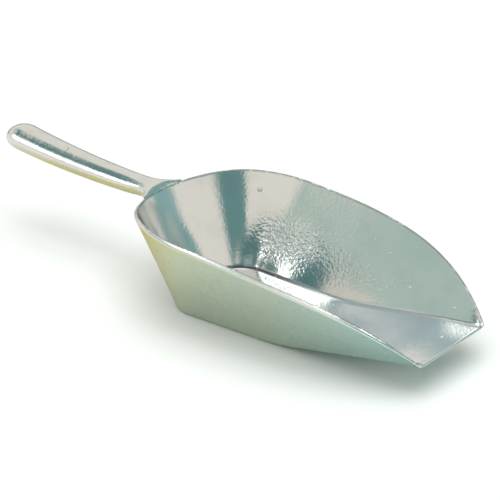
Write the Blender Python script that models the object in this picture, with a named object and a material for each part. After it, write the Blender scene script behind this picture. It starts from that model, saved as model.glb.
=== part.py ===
"""Cast aluminium feed scoop: an open bowl with a flat heel and a ramped front, and a solid grip
that flares into the back of the rim.

Scoop coordinates: X runs forward from the back of the rim to the lip, Y to the left, and Z up from
the flat heel that the scoop rests on. An empty moves the whole scoop so that the world origin is
under the middle of its length.
"""

from math import cos, pi, sin, sqrt, tan

import bmesh
import bpy
from mathutils import Vector

# ---- Driving dimensions, in metres -------------------------------------------------------------

# The open top, as seen from above.
BOWL_LENGTH = 0.250  # back of the rim to the lip
RIM_WIDTH = 0.145  # across the widest part of the rim
RIM_BACK_DEPTH = 0.079  # length of the rounded back end
RIM_BACK_POWER = 2.15  # 2 is an ellipse, more is squarer
RIM_FRONT_POWER = 3.25  # how late the sides turn in towards the lip
LIP_WIDTH = 0.0765

# The rim's height, as seen from the side.
BACK_HEIGHT = 0.0630
CROWN_HEIGHT = 0.0675  # highest point of the rim
CROWN_STATION = 0.040  # how far forward the highest point is

# The floor, on its underside.
HEEL_SETBACK = 0.031  # rim back to floor back, which leans the back wall
FLOOR_BACK_DEPTH = 0.028  # length of the floor's rounded back end
FLOOR_WIDTH = 0.0830
FLOOR_LIP_WIDTH = 0.0695
RAMP_START = 0.133  # where the flat heel ends and the front ramp starts
RAMP_SLOPE = 0.182  # rise for each unit of length
RAMP_BLEND = 0.018  # half the length of the bend between heel and ramp

# Metal.
WALL = 0.0030
FLOOR_THICKNESS = 0.0032
LIP_THICKNESS = 0.0015
LIP_TAPER = 0.045  # length over which wall and floor thin down to the lip
OUTER_FLOOR_RADIUS = 0.0022
INNER_FLOOR_RADIUS = 0.0050
RIM_EDGE_RADIUS = 0.0007

# The grip.
HANDLE_LENGTH = 0.1425  # back of the rim to the free end
NECK_WIDTH = 0.0174
NECK_THICKNESS = 0.0129
END_WIDTH = 0.0260
END_THICKNESS = 0.0193
END_ROUND = 0.018  # length over which the free end closes
END_POWER = 2.35  # 2 closes as an ellipse, more is blunter
END_DROP = 0.003  # how far the tip sits below the line of the grip
GRIP_DROP = 0.0016  # centre line below the rim's back, at the neck
GRIP_RISE = 0.0094  # how far the free end curves up
GRIP_RISE_POWER = 2.6
GRIP_POWER = 2.15  # section of the grip: 2 is an ellipse

# The root, where the grip flares into a web that laps over the back of the rim.
ROOT_LENGTH = 0.031  # length over which the grip changes into the web
ROOT_DEPTH = 0.0091  # how far the web reaches down the middle of the wall
WEB_RADIUS = 0.0195  # flare in plan, on each side
WEB_SET_IN = 0.0033  # how far the flare's arc reaches in past the back of the rim
WEB_WIDTH = 0.044  # where the flare stops widening, across both sides
WEB_LAP = 0.009  # how far forward the web is carried before it is trimmed to the inner wall
WEB_TOP = 0.0045  # top of the web above the outer edge of the rim
WEB_EDGE = 0.0015  # outer edge of the rim down to the web's widest line
WEB_TOP_POWER = 3.2  # more than 2 flattens the top of the web
WEB_UNDER_POWER = 1.26  # less than 2 thins its edges underneath

JOINT_GAP = 0.0003  # between the grip's root and the bowl

# Mesh steps.
BACK_STEPS = 12
SIDE_STEPS = 20
SECTION_STEPS = 28
END_STEPS = 6
GRIP_STEPS = 8
ROOT_STEPS = 16


# ---- Small geometry helpers --------------------------------------------------------------------


def mix(start, end, share):
    return start + (end - start) * share


def smooth(share):
    """0 to 1 with level ends."""
    share = min(max(share, 0.0), 1.0)
    return share * share * (3 - 2 * share)


def rounded_back(share, depth, half_width, power):
    """(back, out) on a rounded end, from its rearmost point at share 0 to its widest at share 1."""
    angle = share * pi / 2
    return depth * (1 - cos(angle) ** (2 / power)), half_width * sin(angle) ** (2 / power)


def rounded_corner(before, corner, after, radius, steps):
    """Points of the arc that rounds a corner, held to under half of each leg."""
    to_before, to_after = before - corner, after - corner
    half_angle = to_before.angle(to_after) / 2
    reach = min(radius / tan(half_angle), 0.45 * to_before.length, 0.45 * to_after.length)
    start = corner + to_before.normalized() * reach
    end = corner + to_after.normalized() * reach
    weight = sin(half_angle)
    points = []
    for step in range(steps + 1):
        share = step / steps
        parts = ((1 - share) ** 2, 2 * weight * share * (1 - share), share**2)
        blend = start * parts[0] + corner * parts[1] + end * parts[2]
        points.append(blend / sum(parts))
    return points


# ---- The bowl's lines --------------------------------------------------------------------------


def floor_height(x):
    """Underside of the floor: flat heel, a short bend, then the straight ramp."""
    past = x - RAMP_START
    if past < -RAMP_BLEND:
        return 0.0
    if past > RAMP_BLEND:
        return RAMP_SLOPE * past
    return RAMP_SLOPE * (past + RAMP_BLEND) ** 2 / (4 * RAMP_BLEND)


def rim_height(x):
    """Outer edge of the rim: a slight rise to the crown, then a fall that steepens to the lip."""
    if x < CROWN_STATION:
        return CROWN_HEIGHT - (CROWN_HEIGHT - BACK_HEIGHT) * (1 - x / CROWN_STATION) ** 2
    lip_height = floor_height(BOWL_LENGTH) + LIP_THICKNESS
    share = (x - CROWN_STATION) / (BOWL_LENGTH - CROWN_STATION)
    return mix(CROWN_HEIGHT, lip_height, (share**2 + share**6) / 2)


def rim_point(back_share, side_share):
    """Outer edge of the rim on the left side."""
    x, y = rounded_back(back_share, RIM_BACK_DEPTH, RIM_WIDTH / 2, RIM_BACK_POWER)
    x += (BOWL_LENGTH - RIM_BACK_DEPTH) * side_share
    y -= (RIM_WIDTH - LIP_WIDTH) / 2 * side_share**RIM_FRONT_POWER
    return Vector((x, y, rim_height(x)))


def floor_point(back_share, side_share):
    """Outer edge of the floor's underside on the left side."""
    x, y = rounded_back(back_share, FLOOR_BACK_DEPTH, FLOOR_WIDTH / 2, 2)
    x += HEEL_SETBACK
    x += (BOWL_LENGTH - HEEL_SETBACK - FLOOR_BACK_DEPTH) * side_share
    y -= (FLOOR_WIDTH - FLOOR_LIP_WIDTH) / 2 * side_share
    return Vector((x, y, floor_height(x)))


def inward(foot):
    """Level direction along the floor from its edge: square across at the sides, fanned at the back."""
    centre_x = max(foot.x, HEEL_SETBACK + FLOOR_BACK_DEPTH)
    return (Vector((centre_x, 0, foot.z)) - foot).normalized()


def thinned(full, x):
    """Thickness at a station, which tapers to the lip's own over the last stretch."""
    return mix(LIP_THICKNESS, full, smooth((BOWL_LENGTH - x) / LIP_TAPER))


def half_outline():
    """(floor, rim) pairs down the left side, from the middle of the back to the lip."""
    shares = [(step / BACK_STEPS, 0.0) for step in range(BACK_STEPS)]
    shares += [(1.0, step / SIDE_STEPS) for step in range(SIDE_STEPS + 1)]
    return [(floor_point(*share), rim_point(*share)) for share in shares]


def inner_corners(foot, top):
    """Where the inside of the same slice meets the inner floor and the rim."""
    along, up = inward(foot), (top - foot).normalized()
    cos_corner = along.dot(up)
    sin_corner = sqrt(1 - cos_corner**2)
    wall, floor = thinned(WALL, top.x), thinned(FLOOR_THICKNESS, foot.x)
    inner_foot = foot + (along * wall + up * floor) / sin_corner
    inner_top = top + (along - up * cos_corner) * (wall / sin_corner)
    return inner_foot, inner_top


def wall_section(foot, top):
    """One upright slice through floor edge, wall and rim, from underside round to the inner floor."""
    along = inward(foot)
    inner_foot, inner_top = inner_corners(foot, top)
    reach = along * (FLOOR_LIP_WIDTH / 4)
    return (
        rounded_corner(foot + reach, foot, top, OUTER_FLOOR_RADIUS, 3)
        + rounded_corner(foot, top, inner_top, RIM_EDGE_RADIUS, 2)
        + rounded_corner(top, inner_top, inner_foot, RIM_EDGE_RADIUS, 2)
        + rounded_corner(inner_top, inner_foot, inner_foot + reach, INNER_FLOOR_RADIUS, 4)
    )


def root_cutter_section(foot, top):
    """What the root keeps clear of in the same slice: the wall and rim with the joint's gap round
    them, and the bowl's hollow, whose side carries on up above the rim."""
    along, up = inward(foot), (top - foot).normalized()
    inner_top = inner_corners(foot, top)[1]
    out = along * (-JOINT_GAP / sqrt(1 - along.dot(up) ** 2))
    over = up * JOINT_GAP
    return [foot + out, top + out + over, inner_top + over, inner_top + up * ROOT_LENGTH]


# ---- Meshes ------------------------------------------------------------------------------------


def mirrored(section):
    return [Vector((point.x, -point.y, point.z)) for point in section]


def mesh_from(bm, name):
    bmesh.ops.recalc_face_normals(bm, faces=bm.faces)
    mesh = bpy.data.meshes.new(name)
    bm.to_mesh(mesh)
    bm.free()
    return mesh


def boat_mesh(name, section_of):
    """A closed shape from upright slices round the outline. Straight strips across the width close
    its first and last rows, and one flat face closes the lip end."""
    half = [section_of(foot, top) for foot, top in half_outline()]
    slices = [mirrored(section) for section in reversed(half[1:])] + half
    bm = bmesh.new()
    rings = [[bm.verts.new(point) for point in section] for section in slices]
    for ring, following in zip(rings, rings[1:]):
        for row in range(len(ring) - 1):
            bm.faces.new((ring[row], ring[row + 1], following[row + 1], following[row]))
    for row in (0, -1):
        edge = [ring[row] for ring in rings]
        for left in range(len(half) - 2):
            right = len(edge) - 1 - left
            bm.faces.new((edge[left], edge[left + 1], edge[right - 1], edge[right]))
        middle = len(half) - 1
        bm.faces.new(edge[middle - 1 : middle + 2])
    bm.faces.new(rings[0] + rings[-1][::-1])
    return mesh_from(bm, name)


def handle_stations():
    """Distances behind the back of the rim, from the free end to inside the bowl's back wall."""
    straight_start, straight_end = HANDLE_LENGTH - END_ROUND, ROOT_LENGTH
    stations = [
        straight_start + END_ROUND * cos(step / END_STEPS * pi / 2) for step in range(1, END_STEPS)
    ]
    stations += [
        mix(straight_start, straight_end, step / GRIP_STEPS) for step in range(GRIP_STEPS)
    ]
    stations += [
        mix(-WEB_LAP, straight_end, 1 - step / ROOT_STEPS) for step in range(ROOT_STEPS + 1)
    ]
    return stations


def half_width_at(behind, grip_half_width):
    """Half the handle's width, which an arc on each side opens out towards the wall."""
    into_arc = min(max(WEB_RADIUS - WEB_SET_IN - behind, 0.0), WEB_RADIUS)
    flare = WEB_RADIUS - sqrt(WEB_RADIUS**2 - into_arc**2)
    return min(grip_half_width + flare, max(grip_half_width, WEB_WIDTH / 2))


def grip_line(behind):
    """Height of the grip's centre line, which curves up and then drops a little at the tip."""
    along_grip = max(behind, 0.0) / HANDLE_LENGTH
    into_end = max(behind - (HANDLE_LENGTH - END_ROUND), 0.0) / END_ROUND
    rise = GRIP_RISE * along_grip**GRIP_RISE_POWER
    return BACK_HEIGHT - GRIP_DROP + rise - END_DROP * into_end**2


def handle_section(behind):
    """One upright slice across the handle, at a distance behind the back of the rim."""
    along_grip = behind / HANDLE_LENGTH
    into_end = max(behind - (HANDLE_LENGTH - END_ROUND), 0.0) / END_ROUND
    closing = (1 - into_end**END_POWER) ** (1 / END_POWER)
    grip = smooth(behind / ROOT_LENGTH)
    half_width = half_width_at(behind, mix(NECK_WIDTH, END_WIDTH, along_grip) / 2 * closing)
    half_height = mix(NECK_THICKNESS, END_THICKNESS, along_grip) / 2 * closing
    centre = grip_line(behind)
    widest = mix(BACK_HEIGHT - WEB_EDGE, centre, grip)
    top = mix(BACK_HEIGHT + WEB_TOP, centre + half_height, grip)
    bottom = mix(BACK_HEIGHT - ROOT_DEPTH, centre - half_height, grip)
    top_power = mix(WEB_TOP_POWER, GRIP_POWER, grip)
    under_power = mix(WEB_UNDER_POWER, GRIP_POWER, grip)
    points = []
    for step in range(SECTION_STEPS):
        angle = 2 * pi * step / SECTION_STEPS
        across, rise = cos(angle), sin(angle)
        power = top_power if rise > 0 else under_power
        reach = top - widest if rise > 0 else widest - bottom
        y = half_width * abs(across) ** (2 / power) * (1 if across > 0 else -1)
        z = widest + reach * abs(rise) ** (2 / power) * (1 if rise > 0 else -1)
        points.append(Vector((-behind, y, z)))
    return points


def handle_mesh(name):
    """Slices joined along the grip. The free end closes to a point and the root to a flat face."""
    bm = bmesh.new()
    rings = [[bm.verts.new(point) for point in handle_section(at)] for at in handle_stations()]
    for ring, following in zip(rings, rings[1:]):
        for index in range(SECTION_STEPS):
            after = (index + 1) % SECTION_STEPS
            bm.faces.new((ring[index], ring[after], following[after], following[index]))
    tip = bm.verts.new((-HANDLE_LENGTH, 0, grip_line(HANDLE_LENGTH)))
    for index in range(SECTION_STEPS):
        bm.faces.new((rings[0][index - 1], rings[0][index], tip))
    bm.faces.new(rings[-1])
    return mesh_from(bm, name)


# ---- Materials ---------------------------------------------------------------------------------


def aluminium(name, colour, roughness):
    material = bpy.data.materials.new(name)
    material.use_nodes = True
    shader = material.node_tree.nodes["Principled BSDF"]
    shader.inputs["Base Color"].default_value = (*colour, 1)
    shader.inputs["Metallic"].default_value = 1.0
    shader.inputs["Roughness"].default_value = roughness
    return material


# ---- Objects -----------------------------------------------------------------------------------


def clear_scene():
    for obj in list(bpy.data.objects):
        bpy.data.objects.remove(obj)


def add_object(mesh, parent):
    obj = bpy.data.objects.new(mesh.name, mesh)
    bpy.context.scene.collection.objects.link(obj)
    obj.parent = parent
    return obj


def add_frame():
    """An empty that centres the scoop's length on the world origin."""
    frame = bpy.data.objects.new("scoop_frame", None)
    bpy.context.scene.collection.objects.link(frame)
    frame.location.x = (HANDLE_LENGTH - BOWL_LENGTH) / 2
    return frame


def shade(obj, material):
    obj.data.materials.append(material)
    obj.data.shade_smooth()
    obj.data.set_sharp_from_angle(angle=pi / 6)


def add_bowl(frame):
    bowl = add_object(boat_mesh("bowl", wall_section), frame)
    shade(bowl, aluminium("cast_aluminium", (0.76, 0.79, 0.76), 0.30))


def add_handle(frame):
    """The grip, cut back to lie just clear of the bowl's back wall and rim."""
    cutter = add_object(boat_mesh("root_cutter", root_cutter_section), frame)
    cutter.hide_render = True
    cutter.display_type = "WIRE"
    handle = add_object(handle_mesh("handle"), frame)
    shade(handle, aluminium("polished_aluminium", (0.80, 0.81, 0.78), 0.16))
    cut = handle.modifiers.new("clear_of_bowl", "BOOLEAN")
    cut.operation = "DIFFERENCE"
    cut.object = cutter


def main():
    clear_scene()
    frame = add_frame()
    add_bowl(frame)
    add_handle(frame)


main()
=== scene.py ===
# %% [markdown]
# # Cast aluminium feed scoop
#
# The real scoop is poured in one go from aluminium: an open bowl with a flat heel, a ramped front
# and a straight lip, and a solid grip that flares into the back of the rim. The casting is tumbled
# to a satin skin, and the grip and the upper walls are mopped bright.
#
# Everything here is built around the packed model, which is loaded first as a fixed frame. Its box
# is kept, so that the finished scoop can be compared with it at the end.

# %% Load the frame
from math import cos, pi, radians, sin
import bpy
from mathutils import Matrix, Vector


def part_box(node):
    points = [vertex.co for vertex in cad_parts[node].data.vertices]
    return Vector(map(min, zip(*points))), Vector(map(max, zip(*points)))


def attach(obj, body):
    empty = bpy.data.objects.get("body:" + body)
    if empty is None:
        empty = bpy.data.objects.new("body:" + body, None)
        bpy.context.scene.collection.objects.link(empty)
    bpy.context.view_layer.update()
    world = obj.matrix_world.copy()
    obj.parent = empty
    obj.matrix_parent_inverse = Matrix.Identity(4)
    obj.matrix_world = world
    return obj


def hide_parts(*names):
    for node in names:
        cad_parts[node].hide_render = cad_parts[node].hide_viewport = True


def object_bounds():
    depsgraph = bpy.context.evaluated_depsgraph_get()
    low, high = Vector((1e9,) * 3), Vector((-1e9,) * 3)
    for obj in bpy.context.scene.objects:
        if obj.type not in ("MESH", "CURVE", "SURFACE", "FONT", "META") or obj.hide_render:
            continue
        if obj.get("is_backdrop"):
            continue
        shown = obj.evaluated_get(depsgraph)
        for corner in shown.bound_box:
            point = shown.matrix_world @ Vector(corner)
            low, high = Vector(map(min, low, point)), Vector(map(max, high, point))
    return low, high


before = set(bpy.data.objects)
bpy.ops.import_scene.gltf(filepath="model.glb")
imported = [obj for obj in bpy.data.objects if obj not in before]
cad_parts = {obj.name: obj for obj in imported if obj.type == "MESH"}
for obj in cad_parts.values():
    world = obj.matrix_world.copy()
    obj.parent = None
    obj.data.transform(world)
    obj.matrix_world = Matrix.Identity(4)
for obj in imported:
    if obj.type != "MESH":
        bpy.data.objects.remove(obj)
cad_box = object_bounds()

from types import SimpleNamespace

import bmesh
import bpy
from mathutils import Matrix, Vector

MM = 0.001
bowl_low, bowl_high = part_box("bowl")
handle_low, handle_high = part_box("handle")
print("bowl", [round(size / MM, 1) for size in bowl_high - bowl_low], "mm")
print("handle", [round(size / MM, 1) for size in handle_high - handle_low], "mm")

# %% [markdown]
# ## The scoop's own measures
#
# A pattern maker works from a few sizes. The ends of the scoop come from the frame, and the others
# are the measures that the bowl and the handle are drawn from. They become the named inputs of the
# Geometry Nodes trees, and each tree's result is kept as a plain mesh.

# %% Measures of the bowl and the handle
BOWL_LENGTH = 250 * MM
lip_x = bowl_high.x
rim_back_x = lip_x - BOWL_LENGTH
tip_x = handle_low.x

bowl_sizes = dict(
    rim_back_x=rim_back_x,
    bowl_length=BOWL_LENGTH,
    rim_width=145 * MM,
    rim_back_depth=79 * MM,
    rim_back_power=2.15,
    rim_front_power=3.25,
    lip_width=76.5 * MM,
    back_height=63 * MM,
    crown_height=67.5 * MM,
    crown_station=40 * MM,
    heel_setback=31 * MM,
    floor_back_depth=28 * MM,
    floor_width=83 * MM,
    floor_lip_width=69.5 * MM,
    ramp_start=133 * MM,
    ramp_slope=0.182,
    ramp_blend=18 * MM,
    wall=3.0 * MM,
    floor_thickness=3.2 * MM,
    lip_thickness=1.5 * MM,
    lip_taper=45 * MM,
    lip_rounding=1.1 * MM,
    lip_edge=0.35 * MM,
    outer_floor_rounding=1.6 * MM,
    rim_rounding=0.8 * MM,
    inner_floor_rounding=2.4 * MM,
    pips_per_area=1500.0,
)
handle_sizes = dict(
    handle_length=rim_back_x - tip_x,
    neck_width=17.4 * MM,
    neck_thickness=12.9 * MM,
    end_width=26.0 * MM,
    end_thickness=19.3 * MM,
    end_round=18 * MM,
    end_power=2.35,
    end_drop=3.0 * MM,
    grip_drop=1.6 * MM,
    grip_rise=9.4 * MM,
    grip_rise_power=2.6,
    grip_power=2.15,
    root_length=31 * MM,
    root_depth=9.1 * MM,
    web_radius=19.5 * MM,
    web_set_in=3.3 * MM,
    web_width=44 * MM,
    web_lap=9 * MM,
    web_top=4.5 * MM,
    web_edge=1.5 * MM,
    web_top_power=3.2,
    web_under_power=1.26,
    web_roll=8.5 * MM,
    root_fillet=3.0 * MM,
)
print("bowl", len(bowl_sizes), "sizes, handle", len(handle_sizes), "sizes")
print("handle length", round(handle_sizes["handle_length"] / MM, 1), "mm")

# %% [markdown]
# ## Writing node trees as Python expressions
#
# Both the shapes and the finishes are worked out in node trees. Adding each Math node by hand hides
# the formula, so one small class wraps a node's output and overloads the operators: an expression
# such as `1 - share * 2` then adds the nodes by itself. Every other node goes through one method.

# %% A value in a node tree
class Value:
    """One output of a node. Python's operators on it add Math or Vector Math nodes."""

    def __init__(self, tree, socket):
        self.tree, self.socket = tree, socket

    def __add__(self, other):
        return self.tree.math("ADD", self, other)

    __radd__ = __add__

    def __sub__(self, other):
        return self.tree.math("SUBTRACT", self, other)

    def __rsub__(self, other):
        return self.tree.math("SUBTRACT", other, self)

    def __mul__(self, other):
        return self.tree.math("MULTIPLY", self, other)

    __rmul__ = __mul__

    def __truediv__(self, other):
        return self.tree.math("DIVIDE", self, other)

    def __rtruediv__(self, other):
        return self.tree.math("DIVIDE", other, self)

    def __pow__(self, other):
        return self.tree.math("POWER", self, other)

    def __rpow__(self, other):
        return self.tree.math("POWER", other, self)


# %% A node tree that is being written
def is_vector(value):
    if isinstance(value, Value):
        return value.socket.type == "VECTOR"
    return isinstance(value, (tuple, Vector))


class Tree:
    """A node tree. node() adds any node: its settings first, then the values of its sockets."""

    def __init__(self, node_tree):
        self.node_tree = node_tree

    def node(self, kind, settings=None, inputs=None, out=0):
        node = self.node_tree.nodes.new(kind)
        for name, value in (settings or {}).items():
            setattr(node, name, value)
        for key, value in (inputs or {}).items():
            if isinstance(value, Value):
                self.node_tree.links.new(value.socket, node.inputs[key])
            else:
                node.inputs[key].default_value = value
        return Value(self, node.outputs[out])

    def math(self, operation, *values):
        vectors = [is_vector(value) for value in values]
        if not any(vectors):
            return self.node("ShaderNodeMath", {"operation": operation}, dict(enumerate(values)))
        if all(vectors):
            settings = {"operation": operation}
            return self.node("ShaderNodeVectorMath", settings, dict(enumerate(values)))
        vector, scale = values if vectors[0] else values[::-1]
        if operation == "DIVIDE":
            scale = 1 / scale
        return self.node("ShaderNodeVectorMath", {"operation": "SCALE"}, {0: vector, "Scale": scale})


operators = [name for name, method in vars(Value).items() if callable(method)]
print("operators on a value:", operators[1:])

# %% Functions of values
def call(operation, *values):
    """A Math node's operation, in the tree that the values belong to."""
    tree = next(value.tree for value in values if isinstance(value, Value))
    return tree.math(operation, *values)


def smallest(first, second):
    return call("MINIMUM", first, second)


def largest(first, second):
    return call("MAXIMUM", first, second)


def clamp(value, low=0.0, high=1.0):
    return smallest(largest(value, low), high)


def mix(start, end, share):
    return start + (end - start) * share


def smooth(share):
    """0 to 1 with level ends."""
    share = clamp(share)
    return share * share * (3 - 2 * share)


def bend(past, reach):
    """0 before a corner and the distance past it after, with a short parabola between."""
    near = clamp(past / reach, -1.0, 1.0) + 1
    return reach * near * near / 4 + largest(past - reach, 0.0)


def vector(x, y, z):
    tree = next(value.tree for value in (x, y, z) if isinstance(value, Value))
    return tree.node("ShaderNodeCombineXYZ", inputs={0: x, 1: y, 2: z})


def parts(value):
    """x, y and z of a vector."""
    separate = value.tree.node("ShaderNodeSeparateXYZ", inputs={0: value}).socket.node
    return [Value(value.tree, output) for output in separate.outputs]


def dot(first, second):
    settings = {"operation": "DOT_PRODUCT"}
    return first.tree.node("ShaderNodeVectorMath", settings, {0: first, 1: second}, "Value")


def length(value):
    return value.tree.node("ShaderNodeVectorMath", {"operation": "LENGTH"}, {0: value}, "Value")


def unit(value):
    return value.tree.node("ShaderNodeVectorMath", {"operation": "NORMALIZE"}, {0: value})


# %% Shape trees: named inputs, a grid to bend, and the result as a plain mesh
def shape_tree(name, sizes):
    """A Geometry Nodes tree with one named input for each size, and the sizes as values."""
    group = bpy.data.node_groups.new(name, "GeometryNodeTree")
    for size in sizes:
        group.interface.new_socket(size, in_out="INPUT", socket_type="NodeSocketFloat")
    group.interface.new_socket("finish", in_out="INPUT", socket_type="NodeSocketMaterial")
    group.interface.new_socket("Geometry", in_out="OUTPUT", socket_type="NodeSocketGeometry")
    tree = Tree(group)
    entry = group.nodes.new("NodeGroupInput")
    values = {size: Value(tree, entry.outputs[size]) for size in (*sizes, "finish")}
    return tree, SimpleNamespace(**values)


def grid(tree, columns, rows):
    """A grid of columns and rows, with the column and row number of each of its points."""
    sizes = {"Size X": columns, "Size Y": rows, "Vertices X": columns + 1, "Vertices Y": rows + 1}
    mesh = tree.node("GeometryNodeMeshGrid", inputs=sizes)
    x, y, _ = parts(tree.node("GeometryNodeInputPosition"))
    return mesh, x + columns / 2, y + rows / 2


def stepped(step, segments):
    """The distance reached at a step, where each segment is (number of steps, length)."""
    reached = total = 0
    for count, distance in segments:
        total = total + clamp((step - reached) / count) * distance
        reached += count
    return total


def placed(tree, mesh, position):
    return tree.node("GeometryNodeSetPosition", inputs={"Geometry": mesh, "Position": position})


def marked_mesh(tree, mesh, name, value):
    """Stores a number for each point of the mesh, for the finish to read."""
    settings = {"data_type": "FLOAT", "domain": "POINT"}
    inputs = {"Geometry": mesh, "Name": name, "Value": value}
    return tree.node("GeometryNodeStoreNamedAttribute", settings, inputs)


def rippled(tree, mesh, waves, share=1.0):
    """Moves the skin in and out by soft waves, where each wave is (its size, its height)."""
    place = tree.node("GeometryNodeInputPosition")
    height = 0.0
    for size, amount in waves:
        inputs = {"Vector": place, "Scale": 1 / size, "Detail": 1.0, "Roughness": 0.4}
        height = (tree.node("ShaderNodeTexNoise", inputs=inputs) - 0.5) * (2 * amount) + height
    offset = tree.node("GeometryNodeInputNormal") * (height * share)
    return tree.node("GeometryNodeSetPosition", inputs={"Geometry": mesh, "Offset": offset})


def joined(tree, *meshes):
    both = tree.node("GeometryNodeJoinGeometry", inputs={0: meshes[0]})
    for mesh in meshes[1:]:
        tree.node_tree.links.new(mesh.socket, both.socket.node.inputs[0])
    return both


def close_tree(tree, mesh, finish):
    """The tree's last nodes, which leave one real mesh with its finish on it."""
    real = tree.node("GeometryNodeRealizeInstances", inputs={0: mesh})
    done = tree.node("GeometryNodeSetMaterial", inputs={"Geometry": real, "Material": finish})
    result = tree.node_tree.nodes.new("NodeGroupOutput")
    tree.node_tree.links.new(done.socket, result.inputs[0])


def plain_mesh(name, tree, sizes, finish):
    """An object that holds the tree's result as a plain mesh."""
    piece = bpy.data.objects.new(name, bpy.data.meshes.new(name))
    bpy.context.scene.collection.objects.link(piece)
    modifier = piece.modifiers.new(name, "NODES")
    modifier.node_group = tree.node_tree
    values = {**sizes, "finish": finish}
    for item in tree.node_tree.interface.items_tree:
        if item.in_out == "INPUT":
            modifier[item.identifier] = values[item.name]
    piece.update_tag()
    evaluated = piece.evaluated_get(bpy.context.evaluated_depsgraph_get())
    mesh = bpy.data.meshes.new_from_object(evaluated)
    piece.modifiers.clear()
    piece.data = mesh
    mesh.name = name
    return piece


# %% [markdown]
# ## The finish of the casting
#
# The mould's sand leaves a fine grain on the whole casting. Tumbling makes it satin, and a mop wheel
# brightens what a hand can reach, so the grain is left mostly low on the inner walls. All of it is
# one metal, so the two finishes share their grain, their dull patches and their fine scratches, and
# differ only in how far each was taken. Patterns are measured in millimetres on the casting itself.

# %% Patterns on the metal
def finish_tree(name):
    """A new material: its tree, its shader node and a place on the casting in millimetres."""
    material = bpy.data.materials.new(name)
    material.use_nodes = True
    material.node_tree.nodes.clear()
    tree = Tree(material.node_tree)
    shader = material.node_tree.nodes.new("ShaderNodeBsdfPrincipled")
    output = material.node_tree.nodes.new("ShaderNodeOutputMaterial")
    material.node_tree.links.new(shader.outputs[0], output.inputs[0])
    return material, tree, shader, tree.node("ShaderNodeTexCoord", out="Object") * (1 / MM)


def noise(tree, place, size, detail=2.0, roughness=0.5, distortion=0.0):
    """Cloudy noise from 0 to 1, with patches of about a size in millimetres."""
    inputs = {"Vector": place, "Scale": 1 / size, "Detail": detail, "Roughness": roughness}
    return tree.node("ShaderNodeTexNoise", inputs={**inputs, "Distortion": distortion})


def spots(tree, place, size, radius, share):
    """Scattered round spots, 1 in the middle, on a share of the cells of a size in millimetres."""
    cell = tree.node("ShaderNodeTexVoronoi", inputs={"Vector": place, "Scale": 1 / size})
    chosen = parts(Value(tree, cell.socket.node.outputs["Color"]))[0]
    return smooth(1 - cell * (size / radius)) * call("LESS_THAN", chosen, share)


def scratches(tree, place, turn, length_mm, width_mm):
    """Fine straight scratches: noise that is drawn out along one direction, cut to thin lines."""
    settings = {"vector_type": "TEXTURE"}
    inputs = {"Vector": place, "Rotation": turn, "Scale": (length_mm, width_mm, width_mm)}
    drawn = tree.node("ShaderNodeMapping", settings, inputs)
    return smooth((noise(tree, drawn, 1.0, 1.0) - 0.66) * 9)


def colour_mix(tree, first, second, share):
    settings = {"data_type": "RGBA", "blend_type": "MIX", "clamp_factor": True}
    return tree.node("ShaderNodeMix", settings, {0: share, 6: first, 7: second}, 2)


def bumped(tree, *layers):
    """Bump nodes one after another, where each layer is (height, depth in metres)."""
    normal = None
    for height, depth in layers:
        inputs = {"Height": height, "Distance": depth, "Strength": 1.0}
        if normal:
            inputs["Normal"] = normal
        normal = tree.node("ShaderNodeBump", inputs=inputs)
    return normal


def connect(shader, **values):
    for name, value in values.items():
        socket = shader.inputs[name.replace("_", " ")]
        if isinstance(value, Value):
            value.tree.node_tree.links.new(value.socket, socket)
        else:
            socket.default_value = value


# %% Satin cast skin of the bowl
INNER_METAL = (0.85, 0.845, 0.83, 1)
OUTER_METAL = (0.78, 0.79, 0.76, 1)
DULL_METAL = (0.74, 0.76, 0.745, 1)
PIT_METAL = (0.30, 0.31, 0.31, 1)
GROUND_METAL = (0.90, 0.905, 0.90, 1)
# A near-black blue for painted dark lines: painted shade along the crease between floor and wall, and
# a painted dark reflection along the rim's inner edge.
PAINTED_DARK_LINE = (0.045, 0.055, 0.075, 1)
OUTER_GRAIN, FLOOR_GRAIN, HIGH_GRAIN = 0.13, 0.04, 0.10
INNER_ROUGHNESS, OUTER_ROUGHNESS = 0.115, 0.27
SAND_DEPTH, FINE_SAND_DEPTH = 0.80 * MM, 0.05 * MM
PIT_DEPTH, NICK_DEPTH = 0.12 * MM, 0.004 * MM


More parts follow.
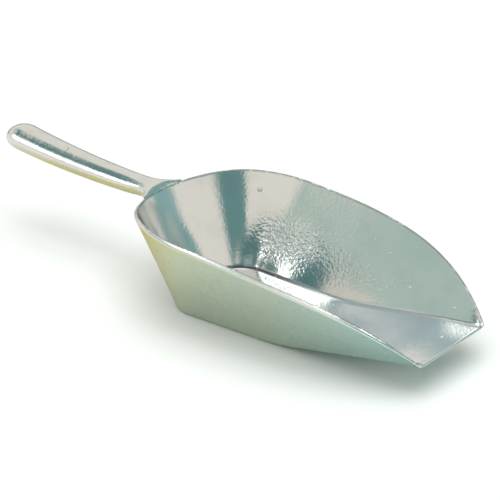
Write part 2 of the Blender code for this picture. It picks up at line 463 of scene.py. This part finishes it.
def satin_cast_skin():
    material, tree, shader, place = finish_tree("satin_cast_skin")
    ground, inside, wall_share, arris, corner = (
        tree.node("ShaderNodeAttribute", {"attribute_name": name}, out="Fac")
        for name in ("ground", "inside", "wall_share", "arris", "corner")
    )
    sand = noise(tree, place, 2.1, 1.5, 0.5)
    fine_sand = noise(tree, place, 0.6, 2.0, 0.6)
    patches = noise(tree, place, 24, 3.0, 0.55)
    on_wall = smooth(wall_share * 8)
    x = parts(place)[0]
    unmopped = smooth((x + 8) / 20) * (1 - 0.76 * smooth((x - 34) / 26))
    unmopped = unmopped * (1 - smooth((x - 105) / 60))
    low = smooth((0.72 - wall_share) * 3) * mix(0.3, 1.0, smooth((wall_share - 0.14) * 5)) * unmopped
    grain = mix(OUTER_GRAIN, mix(FLOOR_GRAIN, mix(HIGH_GRAIN, 1.0, low), on_wall), inside)
    grain = grain * (1 - ground * 0.8)
    pits = spots(tree, place, 12, 0.7, 0.14) * (1 - ground)
    nicks = scratches(tree, place, (0.1, 0.2, 0.5), 16, 0.3) * 0.6
    dull = smooth((patches - 0.40) / 0.30)
    # Painted dark lines: painted shade along the floor crease, strongest at the back and fading
    # towards the lip, and a painted dark reflection along the rim's inner edge, both broken up by the
    # sand grain.
    dark_line_fade = 0.95 - 0.62 * smooth((x - 15) / 70)
    painted_dark_line = smooth(corner * 1.5) * smooth((sand - 0.15) * 4) * dark_line_fade
    painted_dark_line = largest(painted_dark_line, arris * smooth((patches + sand - 0.80) * 5) * 0.95)
    metal = colour_mix(tree, INNER_METAL, DULL_METAL, dull * 0.55)
    metal = colour_mix(tree, OUTER_METAL, metal, inside)
    metal = colour_mix(tree, metal, PIT_METAL, pits * 0.75)
    metal = colour_mix(tree, metal, GROUND_METAL, ground)
    metal = colour_mix(tree, metal, PAINTED_DARK_LINE, painted_dark_line)
    rough = mix(OUTER_ROUGHNESS, INNER_ROUGHNESS, inside) + dull * 0.03
    rough = rough + (fine_sand - 0.5) * 0.06 + pits * 0.2
    rough = mix(rough, 0.14 + sand * 0.10, ground) + nicks * 0.10 + painted_dark_line * 0.2
    normal = bumped(
        tree,
        (sand * grain, SAND_DEPTH),
        (fine_sand * grain, FINE_SAND_DEPTH),
        (pits * -1, PIT_DEPTH),
        (nicks * -1, NICK_DEPTH),
    )
    connect(shader, Base_Color=metal, Roughness=clamp(rough, 0.08, 0.7), Metallic=1.0, Normal=normal)
    return material


cast_skin = satin_cast_skin()
print(cast_skin.name, len(cast_skin.node_tree.nodes), "nodes")


# %% Mopped metal of the grip
SWELL_DEPTH, GRIP_SAND_DEPTH = 0.23 * MM, 0.07 * MM
GRIP_PIT_DEPTH, GRIP_NICK_DEPTH = 0.10 * MM, 0.006 * MM


def mopped_metal():
    material, tree, shader, place = finish_tree("mopped_grip")
    sand = noise(tree, place, 1.1, 2.0, 0.6)
    swell = noise(tree, place, 4.5, 2.0, 0.5)
    patches = noise(tree, place, 16, 3.0, 0.6)
    pits = spots(tree, place, 6.5, 0.6, 0.22)
    nicks = scratches(tree, place, (0, 0, 0.15), 10, 0.3)
    worn = smooth((patches - 0.42) / 0.25)
    metal = colour_mix(tree, INNER_METAL, DULL_METAL, worn * 0.4)
    metal = colour_mix(tree, metal, PIT_METAL, pits * 0.7)
    rough = 0.13 + worn * 0.07 + (sand - 0.5) * 0.06 + pits * 0.2 + nicks * 0.12
    normal = bumped(
        tree,
        (swell, SWELL_DEPTH),
        (sand, GRIP_SAND_DEPTH),
        (pits * -1, GRIP_PIT_DEPTH),
        (nicks * -1, GRIP_NICK_DEPTH),
    )
    connect(shader, Base_Color=metal, Roughness=clamp(rough, 0.06, 0.6), Metallic=1.0, Normal=normal)
    return material


mopped_grip = mopped_metal()
print(mopped_grip.name, len(mopped_grip.node_tree.nodes), "nodes")

# %% [markdown]
# ## The bowl's lines
#
# The bowl is a loft. Its rim and the edge of its floor are two curves, and a straight wall joins
# each point of the one to the same point of the other. Both curves have a rounded back end and a
# long side, so two shares run along them: one round the back, one down the side. The
# handle's root is trimmed to the same wall, so its lines are a function that any tree can use.

# %% Curves of the rim and the floor
def rounded_back(share, depth, half_width, power):
    """(back, out) on a rounded end, from its rearmost point at share 0 to its widest at share 1."""
    angle = share * (pi / 2)
    back = largest(call("COSINE", angle), 0.0) ** (2 / power)
    return depth * (1 - back), half_width * call("SINE", angle) ** (2 / power)


def floor_height(s, x):
    """Underside of the floor: flat heel, a short bend, then the straight ramp."""
    return s.ramp_slope * bend(x - s.ramp_start, s.ramp_blend)


def rim_height(s, x):
    """Outer edge of the rim: a slight rise to the crown, then a fall that steepens to the lip."""
    lip_height = s.ramp_slope * (s.bowl_length - s.ramp_start) + s.lip_thickness
    back = largest(1 - x / s.crown_station, 0.0)
    front = largest(x - s.crown_station, 0.0) / (s.bowl_length - s.crown_station)
    fall = (front**2 + front**6) / 2
    rise = (s.crown_height - s.back_height) * back * back
    return s.crown_height - rise - (s.crown_height - lip_height) * fall


def thinned(s, full, x):
    """Thickness at a station, tapered to the lip's own and then rounded off at its very edge."""
    to_lip = largest(s.bowl_length - x, 0.0)
    tapered = mix(s.lip_thickness, full, smooth(to_lip / s.lip_taper))
    into_edge = 1 - clamp(to_lip / s.lip_rounding)
    rounding = call("SQRT", 1 - into_edge * into_edge)
    return mix(s.lip_edge, tapered, rounding)


def wall_lines(s, back_share, side_share):
    """Floor edge and rim edge, outside and inside, and the directions along the floor and wall."""
    x, y = rounded_back(back_share, s.rim_back_depth, s.rim_width / 2, s.rim_back_power)
    x = x + (s.bowl_length - s.rim_back_depth) * side_share
    y = y - (s.rim_width - s.lip_width) / 2 * side_share**s.rim_front_power
    top, top_x = vector(x, y, rim_height(s, x)), x
    x, y = rounded_back(back_share, s.floor_back_depth, s.floor_width / 2, 2)
    turn = s.heel_setback + s.floor_back_depth
    x = x + s.heel_setback + (s.bowl_length - turn) * side_share
    y = y - (s.floor_width - s.floor_lip_width) / 2 * side_share
    foot, foot_x = vector(x, y, floor_height(s, x)), x
    centre = vector(largest(x, turn), 0.0, floor_height(s, x))
    along, up = unit(centre - foot), unit(top - foot)
    cos_corner = dot(along, up)
    sin_corner = call("SQRT", 1 - cos_corner * cos_corner)
    wall, floor = thinned(s, s.wall, top_x), thinned(s, s.floor_thickness, foot_x)
    inner_foot = foot + (along * wall + up * floor) / sin_corner
    inner_top = top + (along - up * cos_corner) * (wall / sin_corner)
    return SimpleNamespace(
        foot=foot, top=top, inner_foot=inner_foot, inner_top=inner_top, centre=centre, along=along
    )


# %% [markdown]
# ## The bowl
#
# One slice of the bowl is a bent strip: across the underside, up the outer wall, over the rim, down
# the inner wall and back across the floor. A flat grid is bent into all the slices of one half at
# once: a column is a slice, and a row is a distance along the strip. Each corner of the strip is a
# short parabola. The other half is the mirror image, and the two are welded along the middle.

# %% Bend a grid into half a bowl
BACK_COLUMNS, SIDE_COLUMNS, LIP_COLUMNS = 90, 140, 8
STRAIGHT_ROWS, CORNER_ROWS = (14, 26, 1, 58, 30), (5, 3, 3, 7)
RIM_ROW = sum(STRAIGHT_ROWS[:2]) + CORNER_ROWS[0]
RIM_ROWS = sum(CORNER_ROWS[1:3]) + STRAIGHT_ROWS[2]
LIP_SHARE = 0.012
CORNER_SHARE = 0.45


def strip(s, w, row):
    """A point of the slice at a row: five straight legs with a rounded corner between each two."""
    corners = [w.centre, w.foot, w.top, w.inner_top, w.inner_foot]
    legs = [end - start for start, end in zip(corners, corners[1:])]
    across = length(legs[0]) - dot(w.inner_foot - w.foot, w.along)
    lengths = [length(leg) for leg in legs] + [across]
    directions = [unit(leg) for leg in legs] + [w.along]
    wanted = (s.outer_floor_rounding, s.rim_rounding, s.rim_rounding, s.inner_floor_rounding)
    reaches = [
        smallest(reach, smallest(before, after) * CORNER_SHARE)
        for reach, before, after in zip(wanted, lengths, lengths[1:])
    ]
    segments = []
    for leg, rows in enumerate(STRAIGHT_ROWS):
        trimmed = lengths[leg]
        trimmed = trimmed - (reaches[leg - 1] if leg else 0)
        trimmed = trimmed - (reaches[leg] if leg < len(reaches) else 0)
        segments.append((rows, trimmed))
        if leg < len(reaches):
            segments.append((CORNER_ROWS[leg], reaches[leg] * 2))
    travelled = stepped(row, segments)
    point, past, corner_at = w.centre, travelled, 0
    for leg, reach in enumerate(reaches):
        corner_at = corner_at + lengths[leg]
        beyond = bend(travelled - corner_at, reach)
        point = point + directions[leg] * (past - beyond)
        past = beyond
    return point + directions[-1] * past


def near_row(row, middle, reach):
    """1 on a row of the strip, and 0 from some rows away."""
    return 1 - clamp(call("ABSOLUTE", row - middle) / reach)


def bowl_half(tree, s):
    rows = sum(STRAIGHT_ROWS) + sum(CORNER_ROWS)
    mesh, column, row = grid(tree, BACK_COLUMNS + SIDE_COLUMNS + LIP_COLUMNS, rows)
    back_share = clamp(column / BACK_COLUMNS)
    lengthwise = [(SIDE_COLUMNS, 1 - LIP_SHARE), (LIP_COLUMNS, LIP_SHARE)]
    side_share = stepped(column - BACK_COLUMNS, lengthwise)
    past_rim = RIM_ROW + RIM_ROWS
    on_rim = call("GREATER_THAN", row, RIM_ROW - 0.5) * call("LESS_THAN", row, past_rim + 0.5)
    on_lip = clamp((column - BACK_COLUMNS - SIDE_COLUMNS) / LIP_COLUMNS)
    marks = {
        "ground": largest(on_rim, on_lip),
        "inside": call("GREATER_THAN", row, past_rim + 0.5),
        "wall_share": clamp((past_rim + STRAIGHT_ROWS[3] - row) / STRAIGHT_ROWS[3]),
        # arris and corner mark the rim's inner edge and the floor crease, where the finish paints its
        # dark lines.
        "arris": near_row(row, past_rim - CORNER_ROWS[2] / 2, 2.4),
        "corner": near_row(row, past_rim + STRAIGHT_ROWS[3] + CORNER_ROWS[3] / 2, 3.4),
    }
    for name, value in marks.items():
        mesh = marked_mesh(tree, mesh, name, value)
    return placed(tree, mesh, strip(s, wall_lines(s, back_share, side_share), row))


# %% [markdown]
# ## Cast pips
#
# Where a grain of sand fell out of the mould, the metal filled its place and left a small round pip.
# The largest ones stand where they are chosen, each drawn onto the nearest skin. The small ones are
# scattered at random over the inner walls, with a fixed seed, and are 0.4 to 1.1 mm wide.

# %% Pips on the skin
PIP_RISE = 0.55
SMALL_PIPS, LARGE_PIPS = 0.20 * MM, 0.55 * MM
BOWL_PIPS = (
    (45, 58, 56, 4.0),
    (120, 61, 52, 1.5),
    (145, 58, 47, 1.5),
    (160, 55, 42, 2.0),
    (185, 44, 28, 2.5),
    (225, 38, 28, 2.0),
    (235, 10, 22, 2.5),
)
GRIP_PIPS = ((-85, -3, 73, 4.0), (-75, -6, 71, 2.0))


def dome(tree):
    sizes = {"Segments": 12, "Rings": 8, "Radius": 1.0}
    return tree.node("GeometryNodeMeshUVSphere", inputs=sizes)


def pips_on(tree, points, rotation, radius):
    scale = vector(radius, radius, radius * PIP_RISE)
    inputs = {"Points": points, "Instance": dome(tree), "Rotation": rotation, "Scale": scale}
    placed_pips = tree.node("GeometryNodeInstanceOnPoints", inputs=inputs)
    return tree.node("GeometryNodeRealizeInstances", inputs={0: placed_pips})


def scattered_pips(tree, mesh, s):
    """Small pips at random on the inner walls."""
    attribute = {"data_type": "FLOAT"}
    on_wall = tree.node("GeometryNodeInputNamedAttribute", attribute, {"Name": "wall_share"})
    inside = tree.node("GeometryNodeInputNamedAttribute", attribute, {"Name": "inside"})
    density = inside * on_wall * (1 - on_wall) * 4 * s.pips_per_area
    inputs = {"Mesh": mesh, "Density": density, "Seed": 5}
    points = tree.node("GeometryNodeDistributePointsOnFaces", inputs=inputs)
    turned = Value(tree, points.socket.node.outputs["Rotation"])
    random = {"Min": SMALL_PIPS, "Max": LARGE_PIPS, "Seed": 3}
    chance = tree.node("FunctionNodeRandomValue", {"data_type": "FLOAT"})
    for socket in chance.socket.node.inputs:
        if socket.enabled and socket.name in random:
            socket.default_value = random[socket.name]
    radius = Value(tree, next(o for o in chance.socket.node.outputs if o.enabled))
    return pips_on(tree, points, turned, radius)


def chosen_pips(tree, mesh, pips):
    """Pips at chosen places, (ahead of the rim, across, height, width) in mm, set on the skin."""
    spots_at = [
        tree.node("GeometryNodePoints", inputs={
            "Count": 1, "Position": (x * MM, y * MM, z * MM), "Radius": width * MM / 2})
        for x, y, z, width in pips
    ]
    points = joined(tree, *spots_at)
    near = tree.node("GeometryNodeProximity", {"target_element": "FACES"}, {0: mesh}, "Position")
    points = tree.node("GeometryNodeSetPosition", inputs={"Geometry": points, "Position": near})
    normal = tree.node("GeometryNodeInputNormal")
    settings = {"data_type": "FLOAT_VECTOR"}
    inputs = {"Mesh": mesh, "Value": normal}
    facing = tree.node("GeometryNodeSampleNearestSurface", settings, inputs, "Value")
    rotation = tree.node("FunctionNodeAlignRotationToVector", {"axis": "Z"}, {"Vector": facing})
    radius = tree.node("GeometryNodeInputRadius")
    return pips_on(tree, points, rotation, radius)


# %% Mirror it, weld the halves
WELD = 0.01 * MM
BEDDED = 1.2 * MM
CUBIC_CENTIMETRES = 1e6
CAST_WAVES = ((34 * MM, 0.10 * MM), (9 * MM, 0.022 * MM))


def bowl_tree(sizes):
    tree, s = shape_tree("bowl_shape", sizes)
    left = bowl_half(tree, s)
    right = tree.node("GeometryNodeTransform", inputs={"Geometry": left, "Scale": (1, -1, 1)})
    left = tree.node("GeometryNodeFlipFaces", inputs={0: left})
    both = joined(tree, left, right)
    welded = tree.node("GeometryNodeMergeByDistance", inputs={"Geometry": both, "Distance": WELD})
    above_floor = smooth(parts(tree.node("GeometryNodeInputPosition"))[2] / BEDDED - 0.2)
    waved = rippled(tree, welded, CAST_WAVES, above_floor)
    pips = joined(tree, scattered_pips(tree, waved, s), chosen_pips(tree, waved, BOWL_PIPS))
    pipped = joined(tree, waved, marked_mesh(tree, pips, "inside", 1.0))
    offset = vector(s.rim_back_x, 0.0, 0.0)
    moved = tree.node("GeometryNodeTransform", inputs={"Geometry": pipped, "Translation": offset})
    close_tree(tree, moved, s.finish)
    return tree


def close_ends(piece):
    """Fills the loops that are still open, and prints what the closed casting measures."""
    mesh = bmesh.new()
    mesh.from_mesh(piece.data)
    open_edges = [edge for edge in mesh.edges if edge.is_boundary]
    bmesh.ops.holes_fill(mesh, edges=open_edges, sides=0)
    left_open = sum(edge.is_boundary for edge in mesh.edges)
    volume = mesh.calc_volume(signed=True)
    mesh.to_mesh(piece.data)
    mesh.free()
    print(piece.name, len(piece.data.vertices), "points,", len(open_edges), "edges closed,",
          left_open, "left open,", round(volume * CUBIC_CENTIMETRES, 1), "cubic centimetres")


bowl = plain_mesh("bowl_casting", bowl_tree(bowl_sizes), bowl_sizes, cast_skin)
close_ends(bowl)

# %% [markdown]
# ## The handle
#
# The handle is cast with the bowl. It is a solid oval bar that rises gently to a rounded end. At its
# root it flares into a web, which laps over the back of the rim and rolls down into the bowl, and a
# rounded inside corner joins its underside to the wall. Its slice changes by a rule from end to root,
# so it too is a flat grid, bent round: a column is a slice and a row is an angle round it.

# %% A slice of the grip and its root
END_COLUMNS, GRIP_COLUMNS, ROOT_COLUMNS, ROUND_ROWS = 28, 90, 110, 112
GRIP_WAVES = ((26 * MM, 0.16 * MM), (7 * MM, 0.035 * MM))


def grip_section(s, behind, angle):
    """A point of the slice at a distance behind the rim, at an angle round the grip."""
    straight = s.handle_length - s.end_round
    along_grip = behind / s.handle_length
    into_end = clamp((behind - straight) / s.end_round)
    closing = largest(1 - into_end**s.end_power, 0.0) ** (1 / s.end_power)
    grip = smooth(behind / s.root_length)
    half_width = mix(s.neck_width, s.end_width, along_grip) / 2 * closing
    into_arc = clamp(s.web_radius - s.web_set_in - behind, 0.0, s.web_radius)
    flare = s.web_radius - call("SQRT", s.web_radius**2 - into_arc**2)
    half_width = smallest(half_width + flare, largest(half_width, s.web_width / 2))
    half_height = mix(s.neck_thickness, s.end_thickness, along_grip) / 2 * closing
    rise = s.grip_rise * clamp(along_grip) ** s.grip_rise_power
    centre = s.back_height - s.grip_drop + rise - s.end_drop * into_end**2
    widest = mix(s.back_height - s.web_edge, centre, grip)
    top = mix(s.back_height + s.web_top, centre + half_height, grip)
    bottom = mix(s.back_height - s.root_depth, centre - half_height, grip)
    across, climb = call("COSINE", angle), call("SINE", angle)
    upper = call("GREATER_THAN", climb, 0.0)
    power = mix(mix(s.web_under_power, s.web_top_power, upper), s.grip_power, grip)
    reach = mix(widest - bottom, top - widest, upper)
    y = half_width * call("ABSOLUTE", across) ** (2 / power) * call("SIGN", across)
    z = widest + reach * call("ABSOLUTE", climb) ** (2 / power) * call("SIGN", climb)
    return y, z


def smooth_lowest(first, second, blend):
    """The lower of two heights, with a rounded turn where they cross."""
    near = largest(blend - call("ABSOLUTE", first - second), 0.0) / blend
    return smallest(first, second) - near * near * blend / 4


# %% [markdown]
# ## Where the handle meets the bowl
#
# A casting has no seam there, and two pieces only look like one if their skins meet edge to edge. So
# the root is trimmed by a copy of the bowl's own inner wall, carried on above the rim: each point is
# pressed down to that sheet, with a rounded turn. Below the rim the sheet lies a little inside the
# wall, so the two skins never share a place. A second copy, of the outer wall, tells how near a point
# of the underside is to the wall, and the skin swells there into the rounded corner.

# %% Sheets of the bowl's walls
BURIED = 0.45 * MM
SHEET_COLUMNS, SHEET_ROWS = 60, 40
SHEET_REACH = 0.6
SHEET_RISE = 1.35
SINK_SHARE = 0.06
RAY_START, RAY_LENGTH = 0.3, 1.0


def both_sides(tree, sheet):
    other = tree.node("GeometryNodeTransform", inputs={"Geometry": sheet, "Scale": (1, -1, 1)})
    return joined(tree, sheet, other)


def inner_wall_sheet(tree, s, above):
    """The inner wall round the back of the bowl, carried on up above the rim."""
    mesh, column, row = grid(tree, SHEET_COLUMNS, SHEET_ROWS)
    lines = wall_lines(s, column / SHEET_COLUMNS * SHEET_REACH, 0.0)
    up_wall = row / SHEET_ROWS * above
    buried = lines.along * (smooth((1 - up_wall) / SINK_SHARE) * -BURIED)
    sheet = placed(tree, mesh, mix(lines.inner_foot, lines.inner_top, up_wall) + buried)
    return both_sides(tree, sheet)


def outer_wall_sheet(tree, s):
    mesh, column, row = grid(tree, SHEET_COLUMNS, SHEET_ROWS)
    lines = wall_lines(s, column / SHEET_COLUMNS * SHEET_REACH, 0.0)
    return both_sides(tree, placed(tree, mesh, mix(lines.foot, lines.top, row / SHEET_ROWS)))


# %% Fillet under the root
def filleted(tree, s, x, y, z):
    """Swells the underside of the root where it nears the outer wall, as a rounded inside corner."""
    sheet = outer_wall_sheet(tree, s)
    place = vector(x, y, z)
    inputs = {"Geometry": sheet, "Source Position": place}
    near = tree.node("GeometryNodeProximity", {"target_element": "FACES"}, inputs, "Position")
    gap = tree.node("GeometryNodeProximity", {"target_element": "FACES"}, inputs, "Distance")
    outside = call("LESS_THAN", x, parts(near)[0])
    into = 1 - clamp(gap * outside / s.root_fillet)
    swell = s.root_fillet * (1 - call("SQRT", 1 - into * into * 0.96))
    below = smooth((s.back_height - s.web_edge - z) / s.root_fillet)
    out = unit(vector(0.0, y, smallest(z - s.back_height, 0.0) - 0.001 * MM))
    moved = place + out * (swell * below)
    return parts(moved)


# %% Bend a grid into the handle
def handle_tree(sizes):
    tree, s = shape_tree("handle_shape", sizes)
    columns = END_COLUMNS + GRIP_COLUMNS + ROOT_COLUMNS
    mesh, column, row = grid(tree, columns, ROUND_ROWS)
    quarter = clamp(column / END_COLUMNS) * (pi / 2)
    straight = s.handle_length - s.end_round
    travelled = stepped(
        column - END_COLUMNS,
        [(GRIP_COLUMNS, straight - s.root_length), (ROOT_COLUMNS, s.root_length + s.web_lap)],
    )
    behind = straight + s.end_round * call("COSINE", quarter) - travelled
    y, z = grip_section(s, behind, row / ROUND_ROWS * (-2 * pi))
    x = behind * -1
    x, y, z = filleted(tree, s, x, y, z)
    sheet = inner_wall_sheet(tree, s, SHEET_RISE)
    above = vector(x, y, RAY_START)
    ray = {"Target Geometry": sheet, "Source Position": above, "Ray Direction": (0, 0, -1)}
    hit = tree.node("GeometryNodeRaycast", inputs={**ray, "Ray Length": RAY_LENGTH}, out="Is Hit")
    hit_z = parts(Value(tree, hit.socket.node.outputs["Hit Position"]))[2]
    limit = mix(RAY_LENGTH, hit_z, hit)
    rolled = smooth_lowest(z, limit, s.web_roll)
    shaped = placed(tree, mesh, vector(x, y, rolled))
    welded = tree.node("GeometryNodeMergeByDistance", inputs={"Geometry": shaped, "Distance": WELD})
    behind_rim = parts(tree.node("GeometryNodeInputPosition"))[0] * -1
    clear_of_rim = smooth((behind_rim - s.web_radius) / s.root_length)
    waved = rippled(tree, welded, GRIP_WAVES, clear_of_rim)
    pipped = joined(tree, waved, chosen_pips(tree, waved, GRIP_PIPS))
    offset = vector(s.rim_back_x, 0.0, 0.0)
    moved = tree.node("GeometryNodeTransform", inputs={"Geometry": pipped, "Translation": offset})
    close_tree(tree, moved, s.finish)
    return tree


all_sizes = {**bowl_sizes, **handle_sizes}
handle = plain_mesh("handle_casting", handle_tree(all_sizes), all_sizes, mopped_grip)
close_ends(handle)

# %% [markdown]
# ## Put the castings on the frame
#
# The scoop has no moving part, so both castings ride on the one body and stand for the two nodes of
# the packed model.

# %% Ride and replace
for piece in (bowl, handle):
    piece.data.shade_smooth()
    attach(piece, "root")
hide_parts("bowl")
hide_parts("handle")
print("pieces on the frame:", bowl.name, "and", handle.name)

# %% [markdown]
# ## Camera
#
# A catalogue view: a long lens, a little above the scoop, from the side of the lip. The camera looks
# at a point over the floor of the bowl. It is turned, raised and rolled about that point, then
# moved across and up a little, so that the scoop fills the frame from edge to edge.

# %% Aim the camera
TURN, RAISE, ROLL = radians(37.7), radians(25.9), radians(0.7)
DISTANCE = 1640 * MM
LENS, SENSOR = 171.5, 36.0
AHEAD, ABOVE_FLOOR = 100 * MM, 30 * MM
SHIFT_ACROSS, SHIFT_UP = -14.5 * MM, 14.9 * MM
aim = Vector((rim_back_x + AHEAD, 0, ABOVE_FLOOR))
level = Vector((cos(TURN), sin(TURN), 0))
back = Vector((sin(TURN) * cos(RAISE), -cos(TURN) * cos(RAISE), sin(RAISE)))
upright = back.cross(level)
right = level * cos(ROLL) + upright * sin(ROLL)
up = upright * cos(ROLL) - level * sin(ROLL)
place = aim + back * DISTANCE + right * SHIFT_ACROSS + up * SHIFT_UP
camera = bpy.data.objects.new("camera", bpy.data.cameras.new("camera"))
camera.data.lens, camera.data.sensor_width = LENS, SENSOR
camera.data.clip_start, camera.data.clip_end = 0.01, 50
camera.matrix_world = Matrix.Translation(place) @ Matrix((right, up, back)).transposed().to_4x4()
bpy.context.scene.collection.objects.link(camera)
bpy.context.scene.camera = camera
print("camera", [round(v, 3) for v in place], "m, lens", LENS, "mm")

# %% [markdown]
# ## Floor and studio light
#
# Bright metal shows little of itself, it shows the room. This room is not plain white: it is a tent
# in warm white with toned and bright cards, each a soft patch in the world's background with a
# bearing and two heights in degrees. The floor has two sets of colours. The camera sees the floor
# and the background as plain and pale, and what the metal mirrors is toned: the cards, and a darker,
# tinted copy of the floor that is painted shade and tint. One soft light falls on the handle, one on
# the bowl and one on the floor, and light linking keeps each on its own.

# %% Pale floor
def pale_paper():
    """Pale to look at. Where the metal mirrors it, a darker, tinted copy: painted shade and tint,
    cream at the grip, sage at the lip.
    """
    material = bpy.data.materials.new("pale_paper")
    material.use_nodes = True
    material.node_tree.nodes.clear()
    tree = Tree(material.node_tree)
    place = tree.node("ShaderNodeTexCoord", out="Object") * (1 / MM)
    x, y, _ = parts(place)
    fibre = noise(tree, place, 0.9, 3.0, 0.6)
    # The darker, tinted copy of the paper that the metal mirrors is painted shade and tint: cream at
    # the grip, sage and then blue sage towards the lip, a paler far tone further out and grey on the
    # far side.
    painted_mirror_shade = colour_mix(tree, CREAM, SAGE, smooth((x + 115) / 150))
    painted_mirror_shade = colour_mix(tree, painted_mirror_shade, BLUE_SAGE, smooth((x - 40) / 130))
    painted_mirror_shade = colour_mix(tree, painted_mirror_shade, FAR_PAPER, smooth((length(place) - 185) / 130))
    painted_mirror_shade = colour_mix(tree, painted_mirror_shade, GREY_PAPER, smooth(y / 60))
    seen = tree.node("ShaderNodeLightPath", out="Is Camera Ray")
    colour = colour_mix(tree, painted_mirror_shade, colour_mix(tree, PAPER, PAPER_SHADE, fibre), seen)
    paper = tree.node("ShaderNodeBsdfDiffuse", inputs={"Color": colour})
    output = material.node_tree.nodes.new("ShaderNodeOutputMaterial")
    material.node_tree.links.new(paper.socket, output.inputs[0])
    return material


# Colours of the paper that the metal mirrors, darker and tinted: painted shade and tint.
CREAM = (0.61, 0.56, 0.29, 1)
SAGE = (0.68, 0.755, 0.65, 1)
BLUE_SAGE = (0.70, 0.91, 0.89, 1)
FAR_PAPER = (0.78, 0.74, 0.77, 1)
GREY_PAPER = (0.60, 0.61, 0.60, 1)
PAPER = (0.96, 0.96, 0.96, 1)
PAPER_SHADE = (0.94, 0.94, 0.935, 1)
FLOOR_SIZE, FLOOR_GAP = 6.0, 0.2 * MM
corners = [(x * FLOOR_SIZE / 2, y * FLOOR_SIZE / 2, -FLOOR_GAP) for x, y in
           ((-1, -1), (1, -1), (1, 1), (-1, 1))]
floor_mesh = bpy.data.meshes.new("floor")
floor_mesh.from_pydata(corners, [], [(0, 1, 2, 3)])
floor_mesh.materials.append(pale_paper())
floor = bpy.data.objects.new("floor", floor_mesh)
bpy.context.scene.collection.objects.link(floor)
floor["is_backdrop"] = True

# %% The tent and its cards
world = bpy.data.worlds.new("studio")
world.use_nodes = True
world.node_tree.nodes.clear()
sky = Tree(world.node_tree)
sky_x, sky_y, sky_z = parts(sky.node("ShaderNodeTexCoord", out="Generated"))
sky_height = call("ARCSINE", clamp(sky_z, -1.0, 1.0)) * (180 / pi)


def rising(value, start, softness):
    """0 before start and 1 after it, over a soft edge."""
    return smooth((value - start) / softness + 0.5)


def card(bearing, half_width, low, high, sides, ends):
    """1 inside a card that stands at a bearing, in degrees, between two heights above the floor."""
    turn_x = sky_x * cos(radians(bearing)) + sky_y * sin(radians(bearing))
    turn_y = sky_y * cos(radians(bearing)) - sky_x * sin(radians(bearing))
    off = call("ARCTAN2", turn_y, turn_x) * (180 / pi)
    across = rising(off, -half_width, sides[0]) * (1 - rising(off, half_width, sides[1]))
    return across * rising(sky_height, low, ends[0]) * (1 - rising(sky_height, high, ends[1]))


ROOM = (0.78, 0.76, 0.70, 1)
CARDS = (
    (-45.5, 17.5, -12, 58, (0.8, 14), (8, 14), (0.135, 0.27, 0.265, 1)),
    (48, 13, -4, 24, (10, 10), (8, 12), (0.26, 0.44, 0.44, 1)),
    (-132, 13, 6, 44, (8, 12), (8, 6), (0.43, 0.55, 0.50, 1)),
    (-165, 36, 40, 65, (26, 14), (2, 14), (0.10, 0.225, 0.22, 1)),
    (180, 20, 34, 50, (12, 8), (8, 4), (0.40, 0.53, 0.57, 1)),
    (-172, 8, 40, 50, (8, 6), (6, 4), (0.68, 0.74, 0.76, 1)),
    (74, 26, 20, 48, (14, 14), (8, 12), (0.20, 0.38, 0.38, 1)),
    (-8, 15, 29, 44, (14, 14), (8, 8), (0.22, 0.42, 0.42, 1)),
    (30, 60, 48, 74, (14, 20), (8, 8), (0.09, 0.22, 0.24, 1)),
    (-7, 13, 54, 65, (6, 6), (6, 5), (4.6, 4.6, 4.5, 1)),
    (128, 48, -6, 7, (10, 10), (2, 4), (0.05, 0.07, 0.10, 1)),
    (0, 400, 78, 100, (1, 1), (8, 6), (1.6, 1.6, 1.6, 1)),
)
light = ROOM
for bearing, half_width, low, high, sides, ends, colour in CARDS:
    light = colour_mix(sky, light, colour, card(bearing, half_width, low, high, sides, ends))
seen = sky.node("ShaderNodeLightPath", out="Is Camera Ray")
light = colour_mix(sky, light, (1.0, 1.0, 1.0, 1), seen)
background = sky.node("ShaderNodeBackground", inputs={"Color": light, "Strength": 1.0})
output = world.node_tree.nodes.new("ShaderNodeOutputWorld")
world.node_tree.links.new(background.socket, output.inputs["Surface"])
bpy.context.scene.world = world
bpy.context.scene.view_settings.view_transform = "Standard"


# %% Soft lights
def soft_light(name, piece, towards, bearing, height, distance, width, tall, brightness):
    """A rectangle of light that looks at a point, seen only by one piece and never by the camera."""
    lamp = bpy.data.lights.new(name, "AREA")
    lamp.shape = "RECTANGLE"
    lamp.size, lamp.size_y = width, tall
    lamp.energy = brightness * pi * width * tall
    holder = bpy.data.objects.new(name, lamp)
    bearing, height = radians(bearing), radians(height)
    away = Vector((cos(bearing) * cos(height), sin(bearing) * cos(height), sin(height)))
    holder.rotation_euler = away.to_track_quat("Z", "Y").to_euler()
    holder.location = towards + away * distance
    holder.visible_camera = False
    bpy.context.scene.collection.objects.link(holder)
    lit = bpy.data.collections.new(name + "_lights")
    lit.objects.link(piece)
    holder.light_linking.receiver_collection = lit


grip_middle = (handle_low + handle_high) / 2
heel_middle = Vector((rim_back_x + 60 * MM, 0, 0))
soft_light("grip_card", handle, grip_middle, -127, 23, 1.0, 0.70, 0.52, 1.1)
soft_light("heel_softbox", bowl, heel_middle, -173, 58.5, 4.0, 3.4, 0.6, 1.9)
soft_light("floor_wash", floor, Vector((0, 0, 0)), 0, 90, 2.5, 3.0, 3.0, 1.6)

print("lights", bpy.data.lights.keys(), "cards", len(CARDS))

# %% [markdown]
# ## Sizes
#
# The higher corner of the finished scoop's box is printed as its shift from the packed model's. The
# two should agree to well under a millimetre, because the finished castings follow the same lines.

# %% Print how far the higher corner moved
visual_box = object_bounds()
grown = [round((built - packed) / MM, 2) for built, packed in zip(visual_box[1], cad_box[1])]
print("higher corner moved by", grown, "mm")
